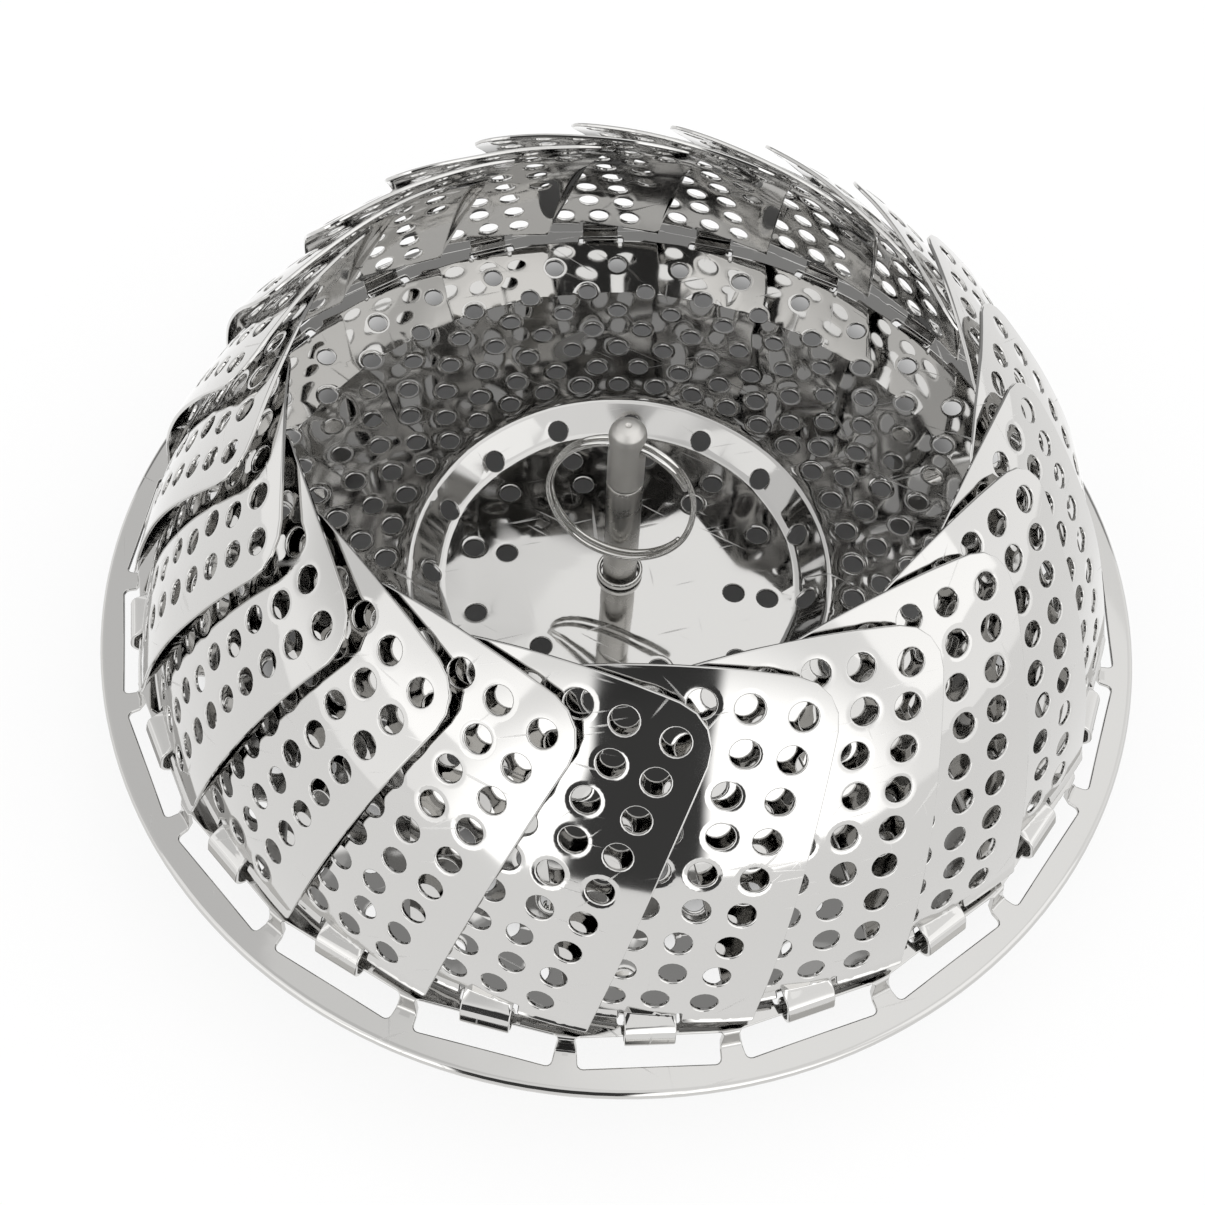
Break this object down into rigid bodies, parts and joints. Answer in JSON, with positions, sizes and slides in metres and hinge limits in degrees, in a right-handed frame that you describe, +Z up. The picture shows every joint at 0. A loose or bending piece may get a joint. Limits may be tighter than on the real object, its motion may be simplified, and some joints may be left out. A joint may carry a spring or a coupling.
{
  "type": "folding steamer insert",
  "caption": "Folding steel steamer insert: a perforated pan on folding legs, ringed by hinged overlapping leaves, with a centre post and a lifting ring.",
  "frame": {"origin": "on the table, under the centre of the post", "axes": "+Z up along the post; +X to the right seen from the front, which is at -Y, as in the picture"},
  "size_m": [0.156, 0.156, 0.067],
  "materials": {
    "pan_steel": "mirror polished",
    "leaf_steel": "mirror polished",
    "post_steel": "drawn",
    "cap_metal": "cast, satin",
    "ring_wire": "bright drawn",
    "leg_steel": "mill"
  },
  "bodies": {
    "pan": {"base_pan": "pan_steel", "post_rod": "post_steel", "post_cap": "cap_metal", "post_eyelet": "post_steel", "post_washer": "post_steel", "post_nut": "post_steel", "leg_bracket_1": "leg_steel", "leg_bracket_2": "leg_steel", "leg_bracket_3": "leg_steel", "leg_pin_1": "leg_steel", "leg_pin_2": "leg_steel", "leg_pin_3": "leg_steel"},
    "petal_01": {"petal_01": "leaf_steel"},
    "petal_02": {"petal_02": "leaf_steel"},
    "petal_03": {"petal_03": "leaf_steel"},
    "petal_04": {"petal_04": "leaf_steel"},
    "petal_05": {"petal_05": "leaf_steel"},
    "petal_06": {"petal_06": "leaf_steel"},
    "petal_07": {"petal_07": "leaf_steel"},
    "petal_08": {"petal_08": "leaf_steel"},
    "petal_09": {"petal_09": "leaf_steel"},
    "petal_10": {"petal_10": "leaf_steel"},
    "petal_11": {"petal_11": "leaf_steel"},
    "petal_12": {"petal_12": "leaf_steel"},
    "petal_13": {"petal_13": "leaf_steel"},
    "petal_14": {"petal_14": "leaf_steel"},
    "petal_15": {"petal_15": "leaf_steel"},
    "petal_16": {"petal_16": "leaf_steel"},
    "petal_17": {"petal_17": "leaf_steel"},
    "petal_18": {"petal_18": "leaf_steel"},
    "petal_19": {"petal_19": "leaf_steel"},
    "petal_20": {"petal_20": "leaf_steel"},
    "petal_21": {"petal_21": "leaf_steel"},
    "petal_22": {"petal_22": "leaf_steel"},
    "ring": {"split_ring": "ring_wire"},
    "leg_1": {"leg_1": "leg_steel"},
    "leg_2": {"leg_2": "leg_steel"},
    "leg_3": {"leg_3": "leg_steel"}
  },
  "joints": [
    {"name": "petal_01_hinge", "type": "hinge", "parent": "pan", "child": "petal_01", "pos_m": [-0.01293, -0.06941, 0.0248], "axis": [0.9831, -0.1831, 0], "range_deg": [0, 98]},
    {"name": "petal_02_hinge", "type": "hinge", "parent": "pan", "child": "petal_02", "pos_m": [0.00715, -0.07024, 0.0248], "axis": [0.9949, 0.1013, 0], "range_deg": [0, 98]},
    {"name": "petal_03_hinge", "type": "hinge", "parent": "pan", "child": "petal_03", "pos_m": [0.02665, -0.06538, 0.0248], "axis": [0.926, 0.3775, 0], "range_deg": [0, 98]},
    {"name": "petal_04_hinge", "type": "hinge", "parent": "pan", "child": "petal_04", "pos_m": [0.04399, -0.05522, 0.0248], "axis": [0.7822, 0.6231, 0], "range_deg": [0, 98]},
    {"name": "petal_05_hinge", "type": "hinge", "parent": "pan", "child": "petal_05", "pos_m": [0.05776, -0.04059, 0.0248], "axis": [0.5749, 0.8182, 0], "range_deg": [0, 98]},
    {"name": "petal_06_hinge", "type": "hinge", "parent": "pan", "child": "petal_06", "pos_m": [0.06686, -0.02267, 0.0248], "axis": [0.3211, 0.947, 0], "range_deg": [0, 98]},
    {"name": "petal_07_hinge", "type": "hinge", "parent": "pan", "child": "petal_07", "pos_m": [0.07054, -0.00292, 0.0248], "axis": [0.0413, 0.9991, 0], "range_deg": [0, 98]},
    {"name": "petal_08_hinge", "type": "hinge", "parent": "pan", "child": "petal_08", "pos_m": [0.0685, 0.01707, 0.0248], "axis": [-0.2418, 0.9703, 0], "range_deg": [0, 98]},
    {"name": "petal_09_hinge", "type": "hinge", "parent": "pan", "child": "petal_09", "pos_m": [0.06092, 0.03568, 0.0248], "axis": [-0.5054, 0.8629, 0], "range_deg": [0, 98]},
    {"name": "petal_10_hinge", "type": "hinge", "parent": "pan", "child": "petal_10", "pos_m": [0.0484, 0.0514, 0.0248], "axis": [-0.728, 0.6855, 0], "range_deg": [0, 98]},
    {"name": "petal_11_hinge", "type": "hinge", "parent": "pan", "child": "petal_11", "pos_m": [0.03196, 0.06295, 0.0248], "axis": [-0.8917, 0.4526, 0], "range_deg": [0, 98]},
    {"name": "petal_12_hinge", "type": "hinge", "parent": "pan", "child": "petal_12", "pos_m": [0.01293, 0.06941, 0.0248], "axis": [-0.9831, 0.1831, 0], "range_deg": [0, 98]},
    {"name": "petal_13_hinge", "type": "hinge", "parent": "pan", "child": "petal_13", "pos_m": [-0.00715, 0.07024, 0.0248], "axis": [-0.9949, -0.1013, 0], "range_deg": [0, 98]},
    {"name": "petal_14_hinge", "type": "hinge", "parent": "pan", "child": "petal_14", "pos_m": [-0.02665, 0.06538, 0.0248], "axis": [-0.926, -0.3775, 0], "range_deg": [0, 98]},
    {"name": "petal_15_hinge", "type": "hinge", "parent": "pan", "child": "petal_15", "pos_m": [-0.04399, 0.05522, 0.0248], "axis": [-0.7822, -0.6231, 0], "range_deg": [0, 98]},
    {"name": "petal_16_hinge", "type": "hinge", "parent": "pan", "child": "petal_16", "pos_m": [-0.05776, 0.04059, 0.0248], "axis": [-0.5749, -0.8182, 0], "range_deg": [0, 98]},
    {"name": "petal_17_hinge", "type": "hinge", "parent": "pan", "child": "petal_17", "pos_m": [-0.06686, 0.02267, 0.0248], "axis": [-0.3211, -0.947, 0], "range_deg": [0, 98]},
    {"name": "petal_18_hinge", "type": "hinge", "parent": "pan", "child": "petal_18", "pos_m": [-0.07054, 0.00292, 0.0248], "axis": [-0.0413, -0.9991, 0], "range_deg": [0, 98]},
    {"name": "petal_19_hinge", "type": "hinge", "parent": "pan", "child": "petal_19", "pos_m": [-0.0685, -0.01707, 0.0248], "axis": [0.2418, -0.9703, 0], "range_deg": [0, 98]},
    {"name": "petal_20_hinge", "type": "hinge", "parent": "pan", "child": "petal_20", "pos_m": [-0.06092, -0.03568, 0.0248], "axis": [0.5054, -0.8629, 0], "range_deg": [0, 98]},
    {"name": "petal_21_hinge", "type": "hinge", "parent": "pan", "child": "petal_21", "pos_m": [-0.0484, -0.0514, 0.0248], "axis": [0.728, -0.6855, 0], "range_deg": [0, 98]},
    {"name": "petal_22_hinge", "type": "hinge", "parent": "pan", "child": "petal_22", "pos_m": [-0.03196, -0.06295, 0.0248], "axis": [0.8917, -0.4526, 0], "range_deg": [0, 98]},
    {"name": "ring_swing", "type": "hinge", "parent": "pan", "child": "ring", "pos_m": [0, 0, 0.0526], "axis": [-0.9744, 0.225, 0], "range_deg": [0, 337]},
    {"name": "leg_1_fold", "type": "hinge", "parent": "pan", "child": "leg_1", "pos_m": [0, -0.054, 0.0195], "axis": [1, 0, 0], "range_deg": [0, 98]},
    {"name": "leg_2_fold", "type": "hinge", "parent": "pan", "child": "leg_2", "pos_m": [0.04677, 0.027, 0.0195], "axis": [-0.5, 0.866, 0], "range_deg": [0, 98]},
    {"name": "leg_3_fold", "type": "hinge", "parent": "pan", "child": "leg_3", "pos_m": [-0.04677, 0.027, 0.0195], "axis": [-0.5, -0.866, 0], "range_deg": [0, 98]}
  ],
  "couplings": [
    {"joint": "petal_02_hinge", "follows": "petal_01_hinge", "ratio": 1},
    {"joint": "petal_03_hinge", "follows": "petal_01_hinge", "ratio": 1},
    {"joint": "petal_04_hinge", "follows": "petal_01_hinge", "ratio": 1},
    {"joint": "petal_05_hinge", "follows": "petal_01_hinge", "ratio": 1},
    {"joint": "petal_06_hinge", "follows": "petal_01_hinge", "ratio": 1},
    {"joint": "petal_07_hinge", "follows": "petal_01_hinge", "ratio": 1},
    {"joint": "petal_08_hinge", "follows": "petal_01_hinge", "ratio": 1},
    {"joint": "petal_09_hinge", "follows": "petal_01_hinge", "ratio": 1},
    {"joint": "petal_10_hinge", "follows": "petal_01_hinge", "ratio": 1},
    {"joint": "petal_11_hinge", "follows": "petal_01_hinge", "ratio": 1},
    {"joint": "petal_12_hinge", "follows": "petal_01_hinge", "ratio": 1},
    {"joint": "petal_13_hinge", "follows": "petal_01_hinge", "ratio": 1},
    {"joint": "petal_14_hinge", "follows": "petal_01_hinge", "ratio": 1},
    {"joint": "petal_15_hinge", "follows": "petal_01_hinge", "ratio": 1},
    {"joint": "petal_16_hinge", "follows": "petal_01_hinge", "ratio": 1},
    {"joint": "petal_17_hinge", "follows": "petal_01_hinge", "ratio": 1},
    {"joint": "petal_18_hinge", "follows": "petal_01_hinge", "ratio": 1},
    {"joint": "petal_19_hinge", "follows": "petal_01_hinge", "ratio": 1},
    {"joint": "petal_20_hinge", "follows": "petal_01_hinge", "ratio": 1},
    {"joint": "petal_21_hinge", "follows": "petal_01_hinge", "ratio": 1},
    {"joint": "petal_22_hinge", "follows": "petal_01_hinge", "ratio": 1}
  ]
}
